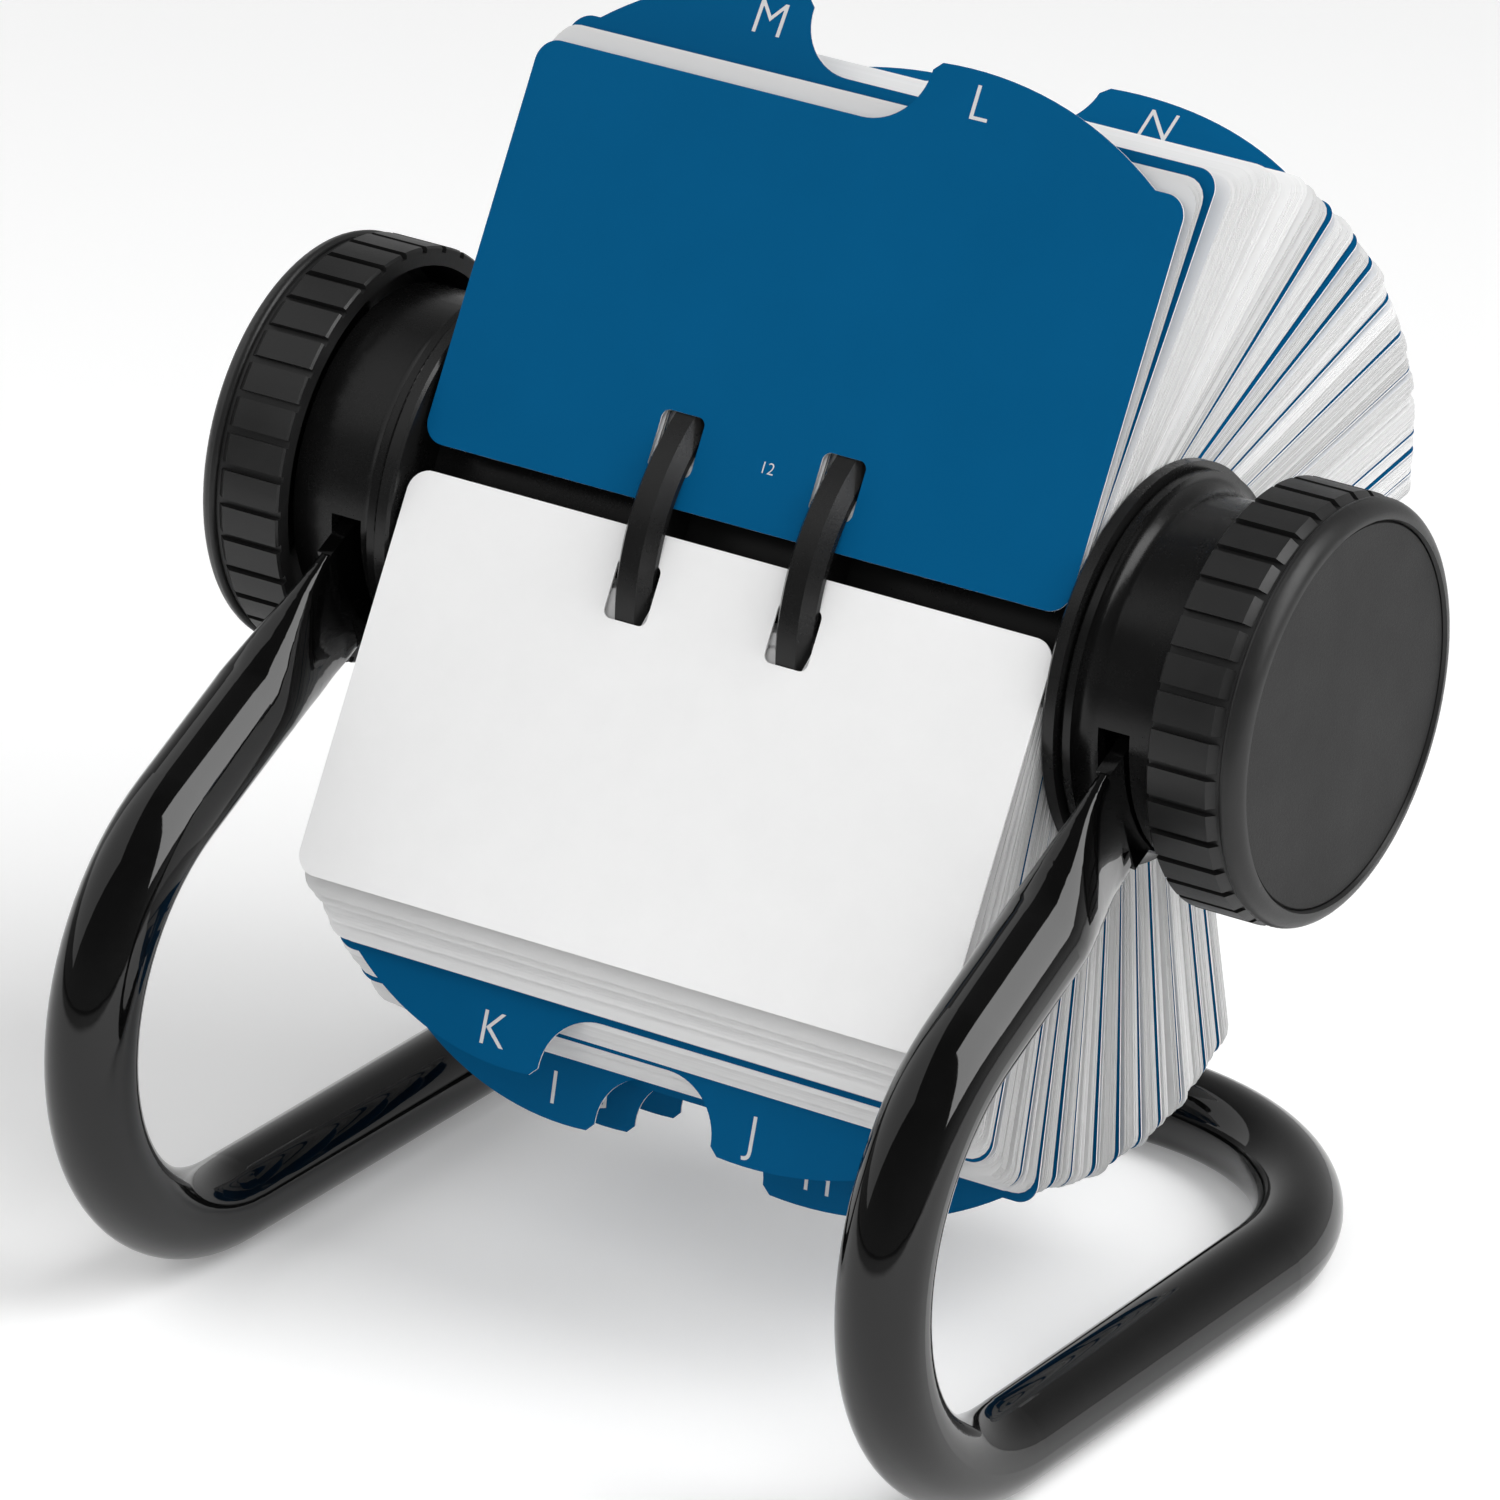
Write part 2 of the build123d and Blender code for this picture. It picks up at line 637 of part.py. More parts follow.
def build_cards():
    """Save every guide, every pack of white cards and the loose front card."""
    upper = bundle_sections(UPPER_FAN, UPPER_GUIDES, None, 0.05)
    lower = bundle_sections(LOWER_BUNDLE, LOWER_GUIDES, "w_hanging", 0.45)
    for table, guides in ((UPPER_FAN, UPPER_GUIDES), (LOWER_BUNDLE, LOWER_GUIDES)):
        for letter, angle in guides:
            slip = GUIDE_SLIP.get(letter, 0.0)
            sheet = sheet_solid(guide_sketch(letter), table, angle, GUIDE_THICK, slip)
            save(sheet, f"guide_{letter}")
    for name, sections in PACKS:
        solids = []
        for section in sections:
            table = UPPER_FAN if section in upper[1] else LOWER_BUNDLE
            stations, ranges = upper if section in upper[1] else lower
            block = pack(table, stations, *ranges[section])
            if section == "k":
                block -= flip_relief()
            solids.append(block.solids()[0])
        save(Compound(solids), f"cards_{name}")
    front_angle = min(angle for angle, _ in LOWER_BUNDLE)
    front = sheet_solid(plain_card(), LOWER_BUNDLE, front_angle, FRONT_CARD_THICK)
    save(front, "front_card")


# ---------------------------------------------------------------- build
def build():
    """Write every piece of the card file."""
    save(tube_frame(), "tube_frame")
    save_pair(housing(), "housing")
    save_pair(bush(), "bush")
    save(Compound(list(both_sides(wave_washer()))), "wave_washers")
    save(wheel_right(), "wheel_right")
    save(wheel_left(), "wheel_left")
    save(axle(), "axle")
    save_pair(knob(), "knob")
    save_pair(knob_cap(), "knob_cap")
    save(Compound(list(both_sides(axle_nut()))), "axle_nuts")
    save(Compound(list(both_sides(axle_washer()))), "axle_washers")
    build_cards()


build()
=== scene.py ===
import json
import math
import random

import bmesh
import bpy
from mathutils import Matrix, Vector


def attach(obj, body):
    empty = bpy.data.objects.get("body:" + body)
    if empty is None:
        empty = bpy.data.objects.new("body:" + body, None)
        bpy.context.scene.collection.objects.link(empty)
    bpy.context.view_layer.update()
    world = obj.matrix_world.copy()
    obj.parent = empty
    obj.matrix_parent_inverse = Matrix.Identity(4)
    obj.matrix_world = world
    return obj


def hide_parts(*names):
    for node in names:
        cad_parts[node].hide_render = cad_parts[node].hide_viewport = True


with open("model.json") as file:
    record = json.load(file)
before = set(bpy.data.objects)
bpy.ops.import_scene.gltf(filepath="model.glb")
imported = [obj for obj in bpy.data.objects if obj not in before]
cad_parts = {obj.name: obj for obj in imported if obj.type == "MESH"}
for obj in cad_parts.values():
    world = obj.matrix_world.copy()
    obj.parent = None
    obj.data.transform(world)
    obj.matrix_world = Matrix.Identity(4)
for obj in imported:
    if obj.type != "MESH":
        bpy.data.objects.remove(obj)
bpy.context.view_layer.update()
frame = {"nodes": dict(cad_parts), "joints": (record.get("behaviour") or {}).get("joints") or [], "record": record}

# Rotary card file. First come the functions for the camera, the materials, the stage, and the
# loose cards that replace the solid packs. The making is at the end.

MM = 0.001
NODES = frame["nodes"]
JOINTS = {joint["name"]: joint for joint in frame["joints"]}
AXLE = Vector(JOINTS["wheel_spin"]["pos_m"])


# ------------------------------------------------------------------ camera
CAMERA_TURN = math.radians(31.220)
CAMERA_RISE = math.radians(22.707)
CAMERA_ROLL = math.radians(2.681)
CAMERA_TARGET = Vector((-7.962, -5.450, -20.847)) * MM
CAMERA_DISTANCE = 1508.675 * MM
FOCAL_LENGTH = 266.29
SENSOR_WIDTH = 36.0
SHIFT = (0.00596, -0.02577)
CLIP = (0.05, 50)


def make_camera():
    """Long lens from the front right, a little above, with a slight roll."""
    turn, rise, roll = CAMERA_TURN, CAMERA_RISE, CAMERA_ROLL
    back = Vector((
        math.sin(turn) * math.cos(rise),
        -math.cos(turn) * math.cos(rise),
        math.sin(rise),
    ))
    right = Vector((math.cos(turn), math.sin(turn), 0))
    up = back.cross(right)
    right_rolled = right * math.cos(roll) + up * math.sin(roll)
    up_rolled = up * math.cos(roll) - right * math.sin(roll)
    data = bpy.data.cameras.new("camera")
    data.lens = FOCAL_LENGTH
    data.sensor_width = SENSOR_WIDTH
    data.shift_x, data.shift_y = SHIFT
    data.clip_start, data.clip_end = CLIP
    camera = bpy.data.objects.new("camera", data)
    place = AXLE + CAMERA_TARGET + back * CAMERA_DISTANCE
    turned = Matrix((right_rolled, up_rolled, back)).transposed()
    camera.matrix_world = Matrix.Translation(place) @ turned.to_4x4()
    bpy.context.scene.collection.objects.link(camera)
    bpy.context.scene.camera = camera


# ------------------------------------------------------------------ node helpers
def new_material(name):
    """New material, with its node tree and its main shader."""
    material = bpy.data.materials.new(name)
    material.use_nodes = True
    tree = material.node_tree
    shader = tree.nodes["Principled BSDF"]
    return material, tree, shader


def add(tree, kind, inputs=None, **settings):
    """Add a node, set its properties, then set or link its inputs."""
    node = tree.nodes.new(kind)
    for key, value in settings.items():
        setattr(node, key, value)
    for key, value in (inputs or {}).items():
        if isinstance(value, bpy.types.NodeSocket):
            tree.links.new(value, node.inputs[key])
        else:
            node.inputs[key].default_value = value
    return node


def grain(tree, scale, detail=4.0, rough=0.55, stretch=None):
    """Noise over object coordinates, with its scale in periods per metre."""
    coords = add(tree, "ShaderNodeTexCoord").outputs["Object"]
    if stretch:
        coords = add(tree, "ShaderNodeMapping", {"Vector": coords, "Scale": stretch}).outputs[0]
    noise = add(tree, "ShaderNodeTexNoise", {
        "Vector": coords, "Scale": scale, "Detail": detail, "Roughness": rough,
    })
    return noise.outputs["Fac"]


def spread(tree, value, low, high, from_low=0.3, from_high=0.7):
    """Remap a noise value to a range."""
    node = add(tree, "ShaderNodeMapRange", {
        "Value": value, "From Min": from_low, "From Max": from_high,
        "To Min": low, "To Max": high,
    })
    return node.outputs["Result"]


def mix_colour(tree, share, first, second):
    """Mix two colours by a share."""
    node = add(tree, "ShaderNodeMix", data_type="RGBA")
    tree.links.new(share, node.inputs[0])
    for socket, value in ((6, first), (7, second)):
        if isinstance(value, bpy.types.NodeSocket):
            tree.links.new(value, node.inputs[socket])
        else:
            node.inputs[socket].default_value = value
    return node.outputs[2]


def bump(tree, height, strength, distance, normal=None):
    """Bump from a height, on top of another bump if one is given."""
    inputs = {"Height": height, "Strength": strength, "Distance": distance}
    if normal:
        inputs["Normal"] = normal
    return add(tree, "ShaderNodeBump", inputs).outputs["Normal"]


def grey(level):
    """Neutral colour."""
    return (level, level, level, 1.0)


# ------------------------------------------------------------------ materials
# How far a face of a guide may lean from the sheet's flat side, as a cosine.
FLAT_SIDE = 0.7


def enamel():
    """Glossy black baked enamel: faint orange peel and a gloss that varies finely."""
    material, tree, shader = new_material("enamel_black")
    peel = grain(tree, 260, 2.0)
    fine = grain(tree, 2600, 3.0)
    tone = mix_colour(tree, spread(tree, peel, 0, 1), grey(0.0016), grey(0.0024))
    tree.links.new(tone, shader.inputs["Base Color"])
    tree.links.new(spread(tree, fine, 0.03, 0.06), shader.inputs["Roughness"])
    shader.inputs["Specular IOR Level"].default_value = 0.42
    tree.links.new(bump(tree, peel, 0.05, 0.0002), shader.inputs["Normal"])
    return material


def moulded(name, tones, roughness, texture, height, specular):
    """Moulded black plastic: fine spark texture, slow tone drift and patchy gloss."""
    material, tree, shader = new_material(name)
    drift = grain(tree, 90, 2.0)
    fine = grain(tree, texture, 5.0, 0.7)
    tone = mix_colour(tree, spread(tree, drift, 0, 1), grey(tones[0]), grey(tones[1]))
    tree.links.new(tone, shader.inputs["Base Color"])
    gloss = add(tree, "ShaderNodeMath", {
        0: spread(tree, drift, *roughness), 1: spread(tree, fine, -0.03, 0.03),
    }, operation="ADD")
    tree.links.new(gloss.outputs[0], shader.inputs["Roughness"])
    shader.inputs["Specular IOR Level"].default_value = specular
    tree.links.new(bump(tree, fine, 0.35, height), shader.inputs["Normal"])
    return material


def steel():
    """Plain zinc-plated steel with turned marks."""
    material, tree, shader = new_material("steel_plated")
    marks = grain(tree, 900, 3.0, stretch=(6, 1, 1))
    tree.links.new(mix_colour(tree, marks, grey(0.45), grey(0.62)), shader.inputs["Base Color"])
    shader.inputs["Metallic"].default_value = 1.0
    tree.links.new(spread(tree, marks, 0.25, 0.4), shader.inputs["Roughness"])
    tree.links.new(bump(tree, marks, 0.2, 0.00005), shader.inputs["Normal"])
    return material


def nylon():
    """Natural nylon of the bushes."""
    material, tree, shader = new_material("nylon_natural")
    drift = grain(tree, 300, 3.0)
    warm, pale = (0.68, 0.66, 0.60, 1), (0.78, 0.76, 0.71, 1)
    tree.links.new(mix_colour(tree, drift, warm, pale), shader.inputs["Base Color"])
    tree.links.new(spread(tree, drift, 0.4, 0.55), shader.inputs["Roughness"])
    shader.inputs["Subsurface Weight"].default_value = 0.1
    shader.inputs["Subsurface Radius"].default_value = (0.002, 0.002, 0.002)
    return material


def card_stock(name, low, high, by_card=False):
    """Card stock with a paper fibre, and either faint mottling or a tone for each card."""
    material, tree, shader = new_material(name)
    fibre = grain(tree, 1500, 6.0, 0.7, stretch=(1, 0.5, 1))
    if by_card:
        share = add(tree, "ShaderNodeAttribute", attribute_name="tone").outputs["Fac"]
    else:
        share = spread(tree, grain(tree, 160, 3.0), 0, 1)
    tone = mix_colour(tree, share, grey(low), grey(high))
    tree.links.new(tone, shader.inputs["Base Color"])
    tree.links.new(spread(tree, fibre, 0.55, 0.7), shader.inputs["Roughness"])
    shader.inputs["Specular IOR Level"].default_value = 0.3
    tree.links.new(bump(tree, fibre, 0.15, 0.00003), shader.inputs["Normal"])
    return material


def blue_sheet():
    """Deep blue polypropylene guide sheet with a fine matte grain."""
    material, tree, shader = new_material("guide_blue")
    fine = grain(tree, 3000, 4.0, 0.7)
    drift = grain(tree, 60, 2.0)
    deep, bright = (0.0009, 0.087, 0.216, 1), (0.0011, 0.091, 0.226, 1)
    tone = mix_colour(tree, spread(tree, drift, 0, 1), deep, bright)
    tree.links.new(tone, shader.inputs["Base Color"])
    tree.links.new(spread(tree, fine, 0.42, 0.52), shader.inputs["Roughness"])
    shader.inputs["Specular IOR Level"].default_value = 0.03
    tree.links.new(bump(tree, fine, 0.15, 0.00003), shader.inputs["Normal"])
    return material


def dress(node, material):
    """Give a CAD node its material."""
    data = NODES[node].data
    data.materials.clear()
    data.materials.append(material)


def cut_edges(node, bundle, angle, material):
    """Give the thin side faces of a guide a material of their own."""
    data = NODES[node].data
    data.materials.append(material)
    out = math.radians(bundle.direction(angle))
    normal = Vector((0, -math.sin(out), math.cos(out)))
    for face in data.polygons:
        face.material_index = 0 if abs(face.normal.dot(normal)) > FLAT_SIDE else 1


# ------------------------------------------------------------------ stage
# Softboxes: name, bearing from the front toward +X, elevation, width and height in metres,
# radiance, seen in reflections or not. A bright one stands on the right, a dim wall on the
# left, and a fill in front lights the cards without greying the black parts.
SOFTBOXES = (
    ("key", 98, 46, (0.80, 1.40), 5.0, True),
    ("wall", -72, 33, (1.50, 1.30), 0.85, True),
    ("fill", 18, 34, (1.30, 1.10), 1.85, False),
)
SOFTBOX_DISTANCE = 1.3
# The sky is a pale wall behind the object, and dim in front of it and above. The bands are
# the shares of Y and Z in a direction over which it changes.
SKY_DIM = 0.18
SKY_WALL = 0.6
SKY_WALL_BAND = (-0.1, 0.6)
SKY_TOP = 0.45
SKY_TOP_BAND = (0.1, 0.6)
# The floor is pale round the object, and dim well in front of it, where the black parts
# mirror it. Places are along Y in metres.
FLOOR_REACH = 6.0
FLOOR_PALE_AT = -0.36
FLOOR_DIM_AT = -0.50
FLOOR_PALE = (0.90, 0.92)
FLOOR_DIM = 0.34
FLOOR_GLOW = 0.20


def make_floor():
    """Pale matte floor with a faint glow, which ends where the floor turns dim."""
    data = bpy.data.meshes.new("floor")
    reach = FLOOR_REACH
    corners = [(-reach, -reach, 0), (reach, -reach, 0), (reach, reach, 0), (-reach, reach, 0)]
    data.from_pydata(corners, [], [(0, 1, 2, 3)])
    floor = bpy.data.objects.new("floor", data)
    bpy.context.scene.collection.objects.link(floor)
    material, tree, shader = new_material("floor_pale")
    mottle = grain(tree, 3.0, 2.0)
    place = add(tree, "ShaderNodeTexCoord").outputs["Object"]
    forward = add(tree, "ShaderNodeSeparateXYZ", {0: place}).outputs["Y"]
    share = spread(tree, forward, 0, 1, FLOOR_DIM_AT, FLOOR_PALE_AT)
    pale = mix_colour(tree, mottle, grey(FLOOR_PALE[0]), grey(FLOOR_PALE[1]))
    tone = mix_colour(tree, share, grey(FLOOR_DIM), pale)
    tree.links.new(tone, shader.inputs["Base Color"])
    shader.inputs["Roughness"].default_value = 0.9
    shader.inputs["Specular IOR Level"].default_value = 0.05
    shader.inputs["Emission Color"].default_value = (1, 1, 1, 1)
    glow = spread(tree, share, 0.0, FLOOR_GLOW, 0.0, 1.0)
    tree.links.new(glow, shader.inputs["Emission Strength"])
    data.materials.append(material)


def make_sky():
    """Pale wall behind the object, dim room in front of it and above it."""
    world = bpy.data.worlds.new("studio")
    bpy.context.scene.world = world
    world.use_nodes = True
    tree = world.node_tree
    coords = add(tree, "ShaderNodeTexCoord").outputs["Generated"]
    parts = add(tree, "ShaderNodeSeparateXYZ", {0: coords})
    rear = spread(tree, parts.outputs["Y"], SKY_DIM, SKY_WALL, *SKY_WALL_BAND)
    fade = spread(tree, parts.outputs["Z"], 1.0, SKY_TOP, *SKY_TOP_BAND)
    level = add(tree, "ShaderNodeMath", {0: rear, 1: fade}, operation="MULTIPLY")
    tree.links.new(level.outputs[0], tree.nodes["Background"].inputs["Strength"])
    tree.nodes["Background"].inputs["Color"].default_value = (1, 1, 1, 1)


def make_softbox(name, bearing, rise, size, radiance, mirrored):
    """Area light that looks at the axle."""
    turn, lift = math.radians(bearing), math.radians(rise)
    level = math.cos(lift)
    direction = Vector((math.sin(turn) * level, -math.cos(turn) * level, math.sin(lift)))
    place = AXLE + direction * SOFTBOX_DISTANCE
    data = bpy.data.lights.new(name, "AREA")
    data.shape = "RECTANGLE"
    data.size, data.size_y = size
    data.energy = radiance * math.pi * size[0] * size[1]
    light = bpy.data.objects.new(name, data)
    light.location = place
    light.rotation_euler = (AXLE - place).to_track_quat("-Z", "Y").to_euler()
    light.visible_glossy = mirrored
    bpy.context.scene.collection.objects.link(light)


def make_stage():
    """Floor, sky and softboxes, seen without a film look."""
    make_floor()
    make_sky()
    for softbox in SOFTBOXES:
        make_softbox(*softbox)
    bpy.context.scene.view_settings.view_transform = "Standard"


# ------------------------------------------------------------------ fan of cards
# The same driving dimensions as the CAD model, in millimetres and degrees.
CARD_W = 101.6
CARD_H = 57.15
CARD_CORNER = 3.2
NECK_DEPTH = 4.2
SLOT_DEPTH = 12.7
SLOT_X = 12.7
NECK_HALF = 2.0
HEAD_HALF = 3.4
HEAD_CORNER = 1.2
MOUTH_CORNER = 1.0
RAIL_CREST_R = 28.9
PIVOT_R = 23.2
SLOT_SLACK = 0.2
SECTION_GAP = 0.25
SHEET = 0.14
PITCH = 0.178
BOW_CUTS = (12.0, 24.0, 34.0, 44.0)
RADIUS_STEP = 0.02
DEPTH_STEPS = 400
LEADING_GAP = 0.05
FRONT_SECTION = "k"
# How cards stick together: clump sizes, share of their depth that a clump keeps, and
# least and most share of the fan's spread inside a clump.
FRONT_HABIT = ((3, 4), 0.85, (0.05, 0.15))
LOWER_HABIT = ((4, 6, 8, 10), 0.85, (0.15, 0.45))
UPPER_HABIT = ((4, 6, 8, 10, 12, 14, 17), 0.85, (0.5, 0.85))
# How a clump differs from the fan's law, and then a card from its clump: bow, slip outward and
# shift sideways in millimetres, skew in degrees, and tone from dark to light.
CLUMP_BOW = (-0.25, 0.25)
CLUMP_SLIP = (-0.45, 0.6)
CLUMP_SHIFT = (-0.25, 0.25)
CLUMP_SKEW = (-0.2, 0.2)
CLUMP_TONE = (0.1, 0.9)
CARD_STRAY = (-0.08, 0.08)
CARD_TONE = (-0.15, 0.15)
# The front card turns about this line, and the cards behind it keep this far away from it.
FRONT_PIVOT = JOINTS["front_card_flip"]["pos_m"]
FLIP_RELIEF_R = 4.5
# Pivot angle of a card and the direction in which it points, along each bundle.
UPPER_FAN = (
    (138.9, 62.5), (133.5, 60.0), (120.0, 51.0), (104.0, 42.0), (88.0, 33.5),
    (73.0, 25.0), (56.0, 17.5), (40.0, 12.8), (27.0, 10.8), (5.0, 9.0), (-14.0, 8.0),
)
LOWER_BUNDLE = (
    (-44.0, -73.2), (-49.0, -73.6), (-59.4, -74.6), (-71.6, -77.0), (-84.0, -80.5),
    (-96.7, -84.6), (-114.5, -91.8), (-130.0, -98.6), (-150.0, -103.5),
    (-173.0, -107.5), (-184.0, -111.8), (-193.9, -117.5),
)
# Guides and their pivot angles.
UPPER_GUIDES = (
    ("l", 138.9), ("m", 129.5), ("n", 85.0), ("o", 73.0), ("p", 64.0), ("q", 52.0),
    ("r", 40.0), ("s", 27.0), ("t", 5.0), ("uv", -1.0), ("w", -8.0),
)
LOWER_GUIDES = (
    ("xy", -51.0), ("z", -59.4), ("a", -71.6), ("b", -80.0), ("c", -88.0),
    ("d", -96.7), ("e", -105.0), ("f", -113.8), ("g", -119.6), ("h", -126.0),
    ("i", -134.0), ("j", -152.5), ("k", -169.0),
)
LEFT_TABS = ("a", "c", "e", "g", "i", "k", "m", "o", "q", "s", "uv", "xy")
GUIDE_SLIP = {"m": 1.4, "h": 1.6}
# Letters: places across a guide and along it from its pivot, cap height, and how much their
# strokes are thinned.
LEFT_LETTER_X = -22.5
RIGHT_LETTER_X = 16.8
LETTER_X = {"l": 17.0, "n": 19.5, "j": 14.7, "h": 17.0, "m": -21.5, "k": -23.6, "i": -22.7}
LETTER_T = 58.2
LETTER_SIZE = 5.1
LETTER_THIN = 0.07
NUMBER = "12"
NUMBER_PLACE = (1.7, 4.2)
NUMBER_SIZE = 1.7
NUMBER_THIN = 0.025
PRINT_LIFT = 0.135
PRINT_DEPTH = 0.006
FONT_SIZE_PER_CAP = 1.38
PACKS = (
    ("l_m", ("l", "m")), ("n_o", ("n", "o")), ("p_q", ("p", "q")), ("r_s", ("r", "s")),
    ("t_uv", ("t", "uv")), ("w", ("w", "w_hanging")), ("xy_z", ("xy", "z")),
    ("a_b", ("a", "b")), ("c_d", ("c", "d")), ("e_f", ("e", "f")), ("g_h", ("g", "h")),
    ("i_j", ("i", "j")), ("k", ("k",)),
)


def between(pairs, value):
    """Straight-line interpolation in a table of pairs."""
    for (a_low, b_low), (a_high, b_high) in zip(pairs, pairs[1:]):
        if a_low - 1e-9 <= value <= a_high + 1e-9:
            return b_low + (b_high - b_low) * (value - a_low) / (a_high - a_low)
    raise ValueError(f"{value} is outside the table")


def pivot_radius(lean):
    """Radius at which a card's slot end just clears the crest of the rail."""
    offset = abs(math.sin(math.radians(lean)))
    reach = SLOT_DEPTH - NECK_DEPTH - SLOT_SLACK
    radius = PIVOT_R
    while True:
        plane = radius * offset
        along = math.sqrt(max(radius**2 - plane**2, 0))
        if along + reach >= math.sqrt(max(RAIL_CREST_R**2 - plane**2, 0)):
            return radius
        radius += RADIUS_STEP


class Bundle:
    """One run of cards on the wheel: pivot angle and direction against stacked depth."""

    def __init__(self, fan, guides, leading, closing):
        self.fan = sorted(fan)
        self.guides = guides
        low, high = self.fan[0][0], self.fan[-1][0]
        step = (high - low) / DEPTH_STEPS
        depth = 0.0
        self.by_depth = [(0.0, high)]
        for index in range(DEPTH_STEPS):
            angle = high - (index + 0.5) * step
            lean = angle - between(self.fan, angle)
            depth += pivot_radius(lean) * math.cos(math.radians(lean)) * math.radians(step)
            self.by_depth.append((depth, high - (index + 1) * step))
        by_angle = [(angle, depth) for depth, angle in reversed(self.by_depth)]
        depths = [between(by_angle, angle) for _, angle in guides]
        self.ranges = {}
        if leading:
            self.ranges[leading] = (LEADING_GAP, depths[0] - SECTION_GAP)
        ends = [value - SECTION_GAP for value in depths[1:]] + [depth - closing]
        for (name, _), start, end in zip(guides, depths, ends):
            self.ranges[name] = (start + SECTION_GAP, end)

    def direction(self, angle):
        """Direction in which a card at a pivot angle points."""
        return between(self.fan, angle)

    def angle(self, depth):
        """Pivot angle at a stacked depth."""
        return between(self.by_depth, depth)


UPPER = Bundle(UPPER_FAN, UPPER_GUIDES, None, 0.05)
LOWER = Bundle(LOWER_BUNDLE, LOWER_GUIDES, "w_hanging", 0.45)


def arc_points(centre, radius, start, end, count):
    """Points of an arc in a card's plane, from one angle to another in degrees."""
    points = []
    for index in range(count + 1):
        turn = math.radians(start + (end - start) * index / count)
        points.append((centre[0] + radius * math.cos(turn), centre[1] + radius * math.sin(turn)))
    return points


def slot_outline(centre):
    """Outline of one keyhole slot, walked from right to left along the inner edge."""
    foot, head = -NECK_DEPTH, SLOT_DEPTH - NECK_DEPTH
    mouth = MOUTH_CORNER
    right = arc_points((NECK_HALF + mouth, foot + mouth), mouth, 270, 180, 4)
    right += [(NECK_HALF, 0.0), (HEAD_HALF, 0.0)]
    right += arc_points((HEAD_HALF - HEAD_CORNER, head - HEAD_CORNER), HEAD_CORNER, 0, 90, 4)
    left = [(-x, y) for x, y in reversed(right)]
    return [(centre + x, y) for x, y in right + left]


def card_outline():
    """Outline of a card about its pivot line: rounded corners and two keyhole slots."""
    half, foot, edge, r = CARD_W / 2, -NECK_DEPTH, CARD_H - NECK_DEPTH, CARD_CORNER
    points = arc_points((half - r, edge - r), r, 0, 90, 5)
    points += arc_points((-half + r, edge - r), r, 90, 180, 5)
    points += arc_points((-half + r, foot + r), r, 180, 270, 5)
    points += slot_outline(-SLOT_X)[::-1] + slot_outline(SLOT_X)[::-1]
    points += arc_points((half - r, foot + r), r, 270, 360, 5)
    return points


def card_template():
    """Thin card with cuts across it, so that it can bow: vertices, faces, edge flags."""
    mesh = bmesh.new()
    corners = [mesh.verts.new((x, y, 0)) for x, y in card_outline()]
    mesh.faces.new(corners)
    for height in BOW_CUTS:
        geometry = mesh.verts[:] + mesh.edges[:] + mesh.faces[:]
        bmesh.ops.bisect_plane(
            mesh, geom=geometry, plane_co=(0, height, 0), plane_no=(0, 1, 0)
        )
    mesh.verts.ensure_lookup_table()
    mesh.verts.index_update()
    flat = [(v.co.x, v.co.y) for v in mesh.verts]
    tops = [[v.index for v in face.verts] for face in mesh.faces]
    rim = [edge for edge in mesh.edges if edge.is_boundary]
    count = len(flat)
    vertices = [(x, y, 0.5) for x, y in flat] + [(x, y, -0.5) for x, y in flat]
    faces = tops + [[index + count for index in reversed(face)] for face in tops]
    flags = [0] * len(faces)
    for edge in rim:
        loop = edge.link_loops[0]
        first, second = loop.vert.index, loop.link_loop_next.vert.index
        faces.append([second, first, first + count, second + count])
        flags.append(1)
    mesh.free()
    return vertices, faces, flags


def card_poses(bundle, depth_low, depth_high, habit, dice):
    """Poses of the cards of one section: clumps of cards that stick together."""
    sizes, squeeze, spreads = habit
    room = depth_high - depth_low
    count = max(1, int(room / PITCH))
    depths = [depth_low + room * (index + 0.5) / count for index in range(count)]
    poses = []
    index = 0
    while index < count:
        size = min(dice.choice(sizes), count - index)
        chosen = depths[index:index + size]
        middle = sum(chosen) / size
        mean = bundle.direction(bundle.angle(middle))
        tight = dice.uniform(*spreads)
        bow = dice.uniform(*CLUMP_BOW)
        slip = dice.uniform(*CLUMP_SLIP)
        shift = dice.uniform(*CLUMP_SHIFT)
        skew = dice.uniform(*CLUMP_SKEW)
        tone = dice.uniform(*CLUMP_TONE)
        for depth in chosen:
            angle = bundle.angle(middle + (depth - middle) * squeeze)
            law = bundle.direction(angle)
            poses.append({
                "angle": angle,
                "direction": mean + (law - mean) * tight,
                "bow": bow,
                "slip": slip + dice.uniform(*CARD_STRAY),
                "shift": shift + dice.uniform(*CARD_STRAY),
                "skew": skew + dice.uniform(*CARD_STRAY),
                "tone": tone + dice.uniform(*CARD_TONE),
            })
        index += size
    return poses


def stack_piece(name, sections, card, materials):
    """One mesh of all the loose cards of a pack node."""
    template, faces, flags = card
    dice = random.Random(name)
    vertices, polygons, tones, marks = [], [], [], []
    for section in sections:
        bundle = UPPER if section in UPPER.ranges else LOWER
        relieved = section == FRONT_SECTION
        habit = FRONT_HABIT if relieved else LOWER_HABIT if bundle is LOWER else UPPER_HABIT
        for pose in card_poses(bundle, *bundle.ranges[section], habit, dice):
            base = len(vertices)
            vertices += place_card(template, pose, bundle, relieved)
            polygons += [[base + index for index in face] for face in faces]
            tones += [pose["tone"]] * len(faces)
            marks += flags
    data = bpy.data.meshes.new(name)
    data.from_pydata(vertices, [], polygons)
    for material in materials:
        data.materials.append(material)
    data.polygons.foreach_set("material_index", marks)
    tone = data.attributes.new("tone", "FLOAT", "FACE")
    tone.data.foreach_set("value", tones)
    piece = bpy.data.objects.new(name, data)
    bpy.context.scene.collection.objects.link(piece)
    return piece


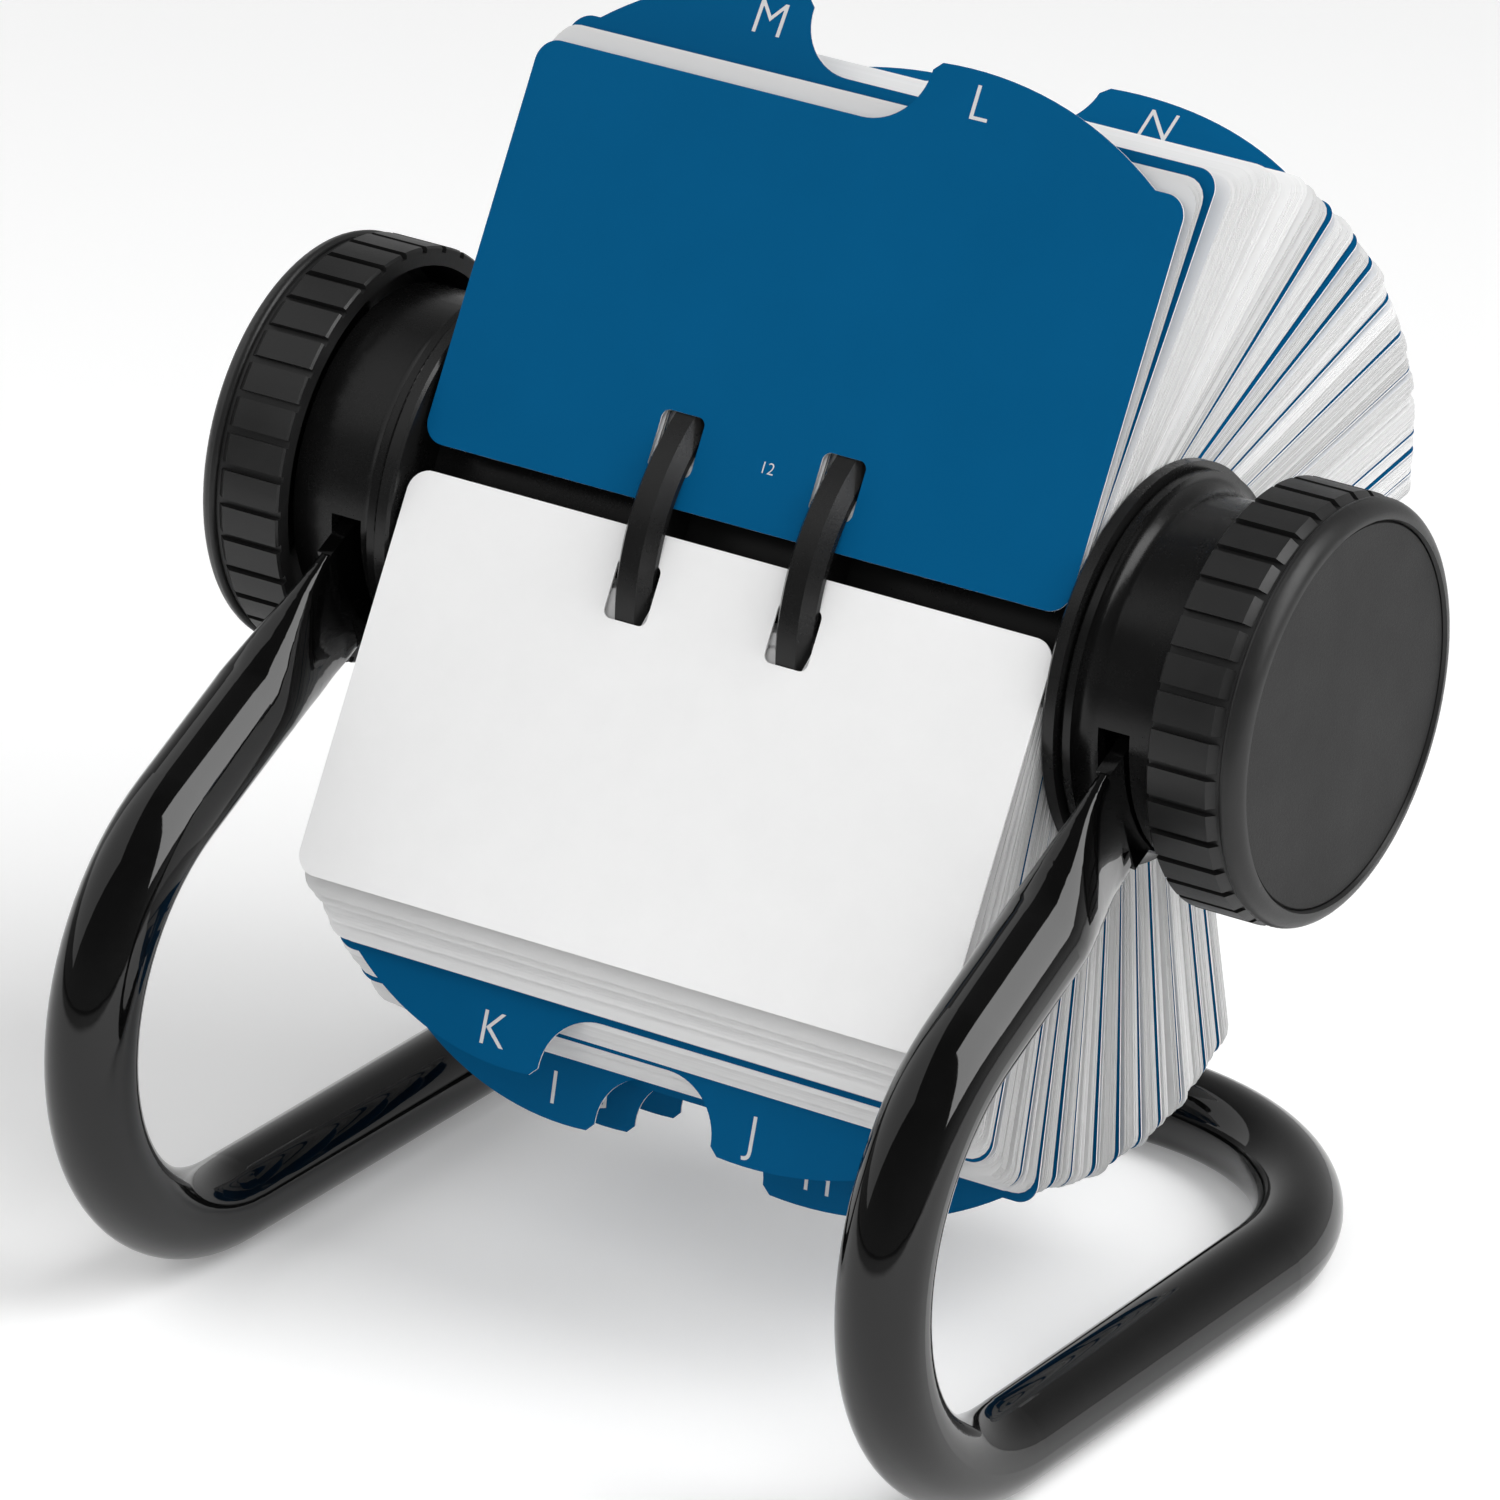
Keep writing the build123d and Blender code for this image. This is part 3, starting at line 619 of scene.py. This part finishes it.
def place_card(template, pose, bundle, relieved):
    """Vertices of one card in its place, bowed, slipped and skewed."""
    angle, direction = math.radians(pose["angle"]), math.radians(pose["direction"])
    radius = pivot_radius(pose["angle"] - bundle.direction(pose["angle"]))
    out = Vector((math.cos(direction), math.sin(direction)))
    normal = Vector((-out.y, out.x))
    foot = Vector((math.cos(angle), math.sin(angle))) * radius
    skew = math.radians(pose["skew"])
    vertices = []
    for x, t, side in template:
        along = t + pose["slip"] + x * skew
        lift = side * SHEET + pose["bow"] * (t / CARD_H) ** 2
        point = foot + out * along + normal * lift
        if relieved:
            point = clear_of_flip(point, out)
        across = x + pose["shift"] - t * skew
        vertices.append((across * MM, point.x * MM, AXLE.z + point.y * MM))
    return vertices


def clear_of_flip(point, out):
    """Move a point outward along its card until the flipping front card passes it."""
    pivot = Vector((FRONT_PIVOT[1] - AXLE.y, FRONT_PIVOT[2] - AXLE.z)) / MM
    offset = point - pivot
    if offset.length >= FLIP_RELIEF_R:
        return point
    along = offset.dot(out)
    return point + out * (math.sqrt(along**2 - offset.length_squared + FLIP_RELIEF_R**2) - along)


def letter_mesh(text, size, thin):
    """Flat letters of a given cap height, centred, as a mesh."""
    curve = bpy.data.curves.new("letters", "FONT")
    curve.body = text
    curve.align_x = "CENTER"
    curve.align_y = "CENTER"
    curve.size = size * FONT_SIZE_PER_CAP * MM
    curve.offset = -thin * MM
    curve.extrude = PRINT_DEPTH * MM
    curve.resolution_u = 6
    holder = bpy.data.objects.new("letters", curve)
    bpy.context.scene.collection.objects.link(holder)
    bpy.context.view_layer.update()
    shaped = holder.evaluated_get(bpy.context.evaluated_depsgraph_get())
    data = bpy.data.meshes.new_from_object(shaped)
    bpy.data.objects.remove(holder)
    return data


def sheet_matrix(bundle, pivot_angle, x, t, upright):
    """Place of a mark on a guide, on its front (+1) or its back (-1)."""
    lean = pivot_angle - bundle.direction(pivot_angle)
    radius = pivot_radius(lean)
    angle = math.radians(pivot_angle)
    direction = math.radians(bundle.direction(pivot_angle))
    out = Vector((0, math.cos(direction), math.sin(direction)))
    normal = Vector((1, 0, 0)).cross(out)
    foot = Vector((0, radius * math.cos(angle), radius * math.sin(angle)))
    place = AXLE + (foot + Vector((x, 0, 0)) + out * t + normal * PRINT_LIFT * upright) * MM
    axes = Matrix((Vector((1, 0, 0)), out * upright, normal * upright)).transposed()
    return Matrix.Translation(place) @ axes.to_4x4()


def print_guides(material):
    """Letters on both faces of every tab and a small sheet number on the first guide."""
    joined = bmesh.new()
    for bundle in (UPPER, LOWER):
        for name, angle in bundle.guides:
            x = LETTER_X.get(name, LEFT_LETTER_X if name in LEFT_TABS else RIGHT_LETTER_X)
            t = LETTER_T + GUIDE_SLIP.get(name, 0.0)
            data = letter_mesh(name.upper(), LETTER_SIZE, LETTER_THIN)
            for upright in (1, -1):
                copy = data.copy()
                copy.transform(sheet_matrix(bundle, angle, x, t, upright))
                joined.from_mesh(copy)
    data = letter_mesh(NUMBER, NUMBER_SIZE, NUMBER_THIN)
    data.transform(sheet_matrix(UPPER, UPPER_GUIDES[0][1], *NUMBER_PLACE, 1))
    joined.from_mesh(data)
    printed = bpy.data.meshes.new("guide_letters")
    joined.to_mesh(printed)
    joined.free()
    printed.materials.append(material)
    piece = bpy.data.objects.new("guide_letters", printed)
    bpy.context.scene.collection.objects.link(piece)
    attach(piece, "wheel")


def build_stacks(face, edge):
    """Replace every solid pack with its loose cards."""
    card = card_template()
    for name, sections in PACKS:
        piece = stack_piece(f"loose_cards_{name}", sections, card, (face, edge))
        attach(piece, "wheel")
        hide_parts(f"cards_{name}")


# ------------------------------------------------------------------ making
make_camera()
make_stage()

MATERIALS = {
    "black_enamel": enamel(),
    "black_plastic": moulded(
        "housing_black", tones=(0.004, 0.006), roughness=(0.22, 0.30),
        texture=1400, height=0.00002, specular=0.28,
    ),
    "bush_plastic": nylon(),
    "steel": steel(),
    "wheel_plastic": moulded(
        "wheel_black", tones=(0.007, 0.010), roughness=(0.24, 0.34),
        texture=1600, height=0.00003, specular=0.30,
    ),
    "knob_plastic": moulded(
        "knob_black", tones=(0.010, 0.014), roughness=(0.34, 0.44),
        texture=1800, height=0.00004, specular=0.36,
    ),
    "knob_face": moulded(
        "face_black", tones=(0.006, 0.009), roughness=(0.50, 0.58),
        texture=2400, height=0.00010, specular=0.24,
    ),
    "blue_plastic": blue_sheet(),
    "card_stock": card_stock("card_white", 0.86, 0.875),
}
FACE = card_stock("card_face", 0.70, 0.88, by_card=True)
# The cut edges of the loose cards are painted darker than their faces. This is painted shade for the gaps between
# the cards, with a random tone for each card on top of it.
SHADED_EDGE = card_stock("card_edge_painted_shade", 0.38, 0.72, by_card=True)
CUT_EDGE = card_stock("guide_cut_edge", 0.62, 0.75)
PRINT = card_stock("guide_print", 0.60, 0.66)

for entry in frame["record"]["subparts"]:
    dress(entry["node"], MATERIALS[entry["material_slot"]])
for bundle in (UPPER, LOWER):
    for name, angle in bundle.guides:
        cut_edges(f"guide_{name}", bundle, angle, CUT_EDGE)
build_stacks(FACE, SHADED_EDGE)
print_guides(PRINT)
